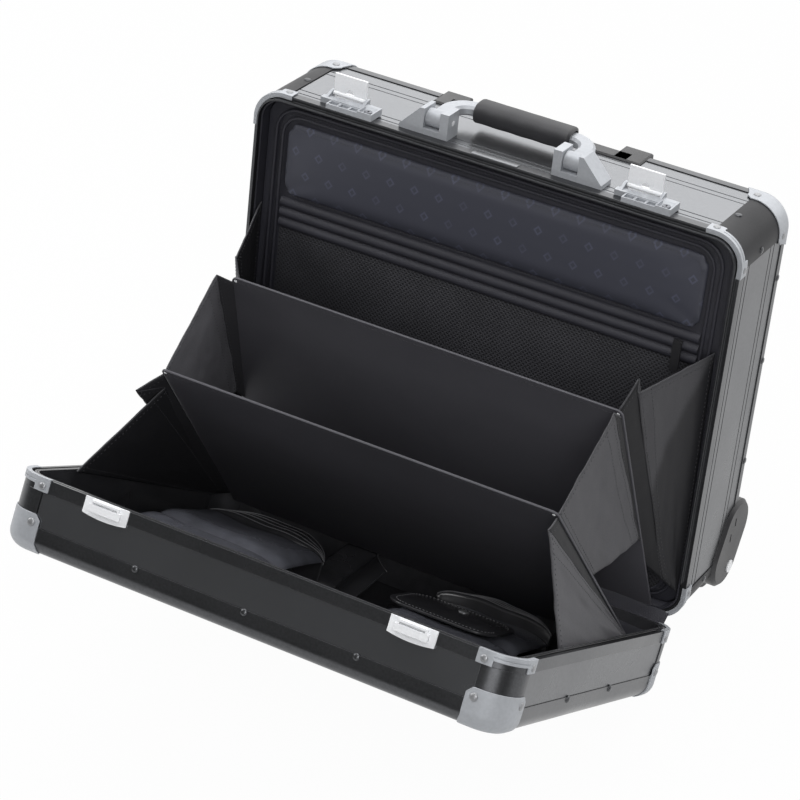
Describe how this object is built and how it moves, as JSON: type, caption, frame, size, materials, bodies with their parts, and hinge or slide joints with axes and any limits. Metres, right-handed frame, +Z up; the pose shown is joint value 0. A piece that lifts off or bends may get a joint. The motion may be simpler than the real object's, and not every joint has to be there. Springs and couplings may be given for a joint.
{
  "type": "rolling briefcase",
  "caption": "Rolling pilot briefcase, standing open: rigid black shell on wheels, hinged lid tray, divider fan with cloth gussets, latches, carry handle and pull handle.",
  "frame": {"origin": "middle of the bounding box at floor level, under the open case as it stands on its wheels and on the lower edge of its lid", "axes": "+X to the right as seen by someone who faces the open lid, +Y from the lid towards the rear shell, +Z up"},
  "size_m": [0.474, 0.5374, 0.4173],
  "materials": {
    "black_panel": "black anodised sheet, satin",
    "black_profile": "black anodised extrusion, satin",
    "silver_fitting": "satin silver casting",
    "bright_metal": "bright plated",
    "tube_metal": "anodised tube",
    "black_plastic": "black moulded, fine grain",
    "grip_rubber": "black rubber, satin",
    "tyre": "black tread",
    "divider_cloth": "black coated cloth on board",
    "gusset_cloth": "charcoal coated cloth",
    "lining": "dark woven lining",
    "mesh": "black diagonal mesh",
    "organiser": "glossy black sheet with pale stitching"
  },
  "bodies": {
    "main": {"main_top_panel": "black_panel", "main_bottom_panel": "black_panel", "main_side_panels": "black_panel", "main_corner_columns": "black_profile", "main_rim_profile": "black_profile", "main_rim_brackets": "silver_fitting", "rear_edge_profile": "black_profile", "rear_panel": "black_panel", "rear_corner_caps": "silver_fitting", "main_hinge_leaf": "black_profile", "hinge_pin": "bright_metal", "wheel_housings": "black_plastic", "wheel_axles": "bright_metal", "feet": "black_plastic", "pull_outer_tubes": "tube_metal", "pull_bezel": "black_plastic", "handle_bases": "silver_fitting", "handle_pins": "bright_metal", "latch_bases": "silver_fitting", "main_lining": "lining", "compartment_panel": "lining", "pocket_zip_band": "lining", "mesh_pocket": "mesh", "rear_gussets": "gusset_cloth"},
    "lid": {"lid_front_panel": "black_panel", "lid_top_panel": "black_panel", "lid_bottom_panel": "black_panel", "lid_side_panels": "black_panel", "lid_corner_columns": "black_profile", "lid_rim_profile": "black_profile", "lid_rim_brackets": "silver_fitting", "lid_edge_profile": "black_profile", "lid_corner_caps": "silver_fitting", "lid_hinge_leaf": "black_profile", "lid_lining": "organiser", "lid_organiser": "organiser", "keepers": "bright_metal", "front_gussets": "gusset_cloth"},
    "divider_rear": {"divider_rear": "divider_cloth", "middle_gussets": "gusset_cloth"},
    "divider_front": {"divider_front": "divider_cloth"},
    "carry_handle": {"handle_frame": "silver_fitting", "carry_grip": "grip_rubber"},
    "latch_left": {"latch_flap_left": "bright_metal"},
    "latch_right": {"latch_flap_right": "bright_metal"},
    "lock_left": {"lock_barrel_left": "bright_metal"},
    "lock_right": {"lock_barrel_right": "bright_metal"},
    "pull_lower": {"pull_middle_tubes": "tube_metal"},
    "pull_upper": {"pull_inner_tubes": "tube_metal", "pull_grip": "black_plastic"},
    "release": {"release_button": "grip_rubber"},
    "wheel_left": {"wheel_hub_left": "black_plastic", "wheel_tyre_left": "tyre"},
    "wheel_right": {"wheel_hub_right": "black_plastic", "wheel_tyre_right": "tyre"},
    "zip": {"zip_slider": "bright_metal"}
  },
  "joints": [
    {"name": "lid_hinge", "type": "hinge", "parent": "main", "child": "lid", "pos_m": [0, 0.05111, 0.04155], "axis": [-1, 0, 0], "range_deg": [0, 66.7], "deforming": ["rear_gussets", "middle_gussets", "front_gussets"]},
    {"name": "rear_divider_fold", "type": "hinge", "parent": "main", "child": "divider_rear", "pos_m": [0, 0.05111, 0.04155], "axis": [-1, 0, 0], "range_deg": [0, 22.23]},
    {"name": "front_divider_fold", "type": "hinge", "parent": "lid", "child": "divider_front", "pos_m": [0, 0.01926, 0.02822], "axis": [-1, 0, 0], "range_deg": [-27.7, 0]},
    {"name": "carry_handle_hinge", "type": "hinge", "parent": "main", "child": "carry_handle", "pos_m": [0, 0.18924, 0.40468], "axis": [1, 0, 0], "range_deg": [0, 100]},
    {"name": "latch_left_hinge", "type": "hinge", "parent": "main", "child": "latch_left", "pos_m": [-0.14201, 0.19011, 0.39725], "axis": [1, 0, 0], "range_deg": [0, 90]},
    {"name": "lock_left_turn", "type": "hinge", "parent": "main", "child": "lock_left", "pos_m": [-0.12676, 0.17522, 0.3967], "axis": [0, 0.3069, 0.9517], "range_deg": [0, 90]},
    {"name": "latch_right_hinge", "type": "hinge", "parent": "main", "child": "latch_right", "pos_m": [0.14201, 0.19011, 0.39725], "axis": [1, 0, 0], "range_deg": [0, 90]},
    {"name": "lock_right_turn", "type": "hinge", "parent": "main", "child": "lock_right", "pos_m": [0.15726, 0.17522, 0.3967], "axis": [0, 0.3069, 0.9517], "range_deg": [0, 90]},
    {"name": "pull_lower_slide", "type": "slide", "parent": "main", "child": "pull_lower", "axis": [0, 0.3069, 0.9517], "range_m": [0, 0.25]},
    {"name": "pull_upper_slide", "type": "slide", "parent": "pull_lower", "child": "pull_upper", "axis": [0, 0.3069, 0.9517], "range_m": [0, 0.25]},
    {"name": "release_press", "type": "slide", "parent": "pull_upper", "child": "release", "axis": [0, -0.3069, -0.9517], "range_m": [0, 0.003], "stiffness_N_per_m": 200, "springref_m": -0.002},
    {"name": "wheel_left_spin", "type": "hinge", "parent": "main", "child": "wheel_left", "pos_m": [0, 0.14834, 0.027], "axis": [1, 0, 0], "continuous": true},
    {"name": "wheel_right_spin", "type": "hinge", "parent": "main", "child": "wheel_right", "pos_m": [0, 0.14834, 0.027], "axis": [1, 0, 0], "continuous": true},
    {"name": "zip_run", "type": "slide", "parent": "main", "child": "zip", "axis": [-1, 0, 0], "range_m": [0, 0.37]}
  ],
  "couplings": [
    {"joint": "rear_divider_fold", "follows": "lid_hinge", "ratio": 0.33333},
    {"joint": "front_divider_fold", "follows": "lid_hinge", "ratio": -0.41529}
  ]
}
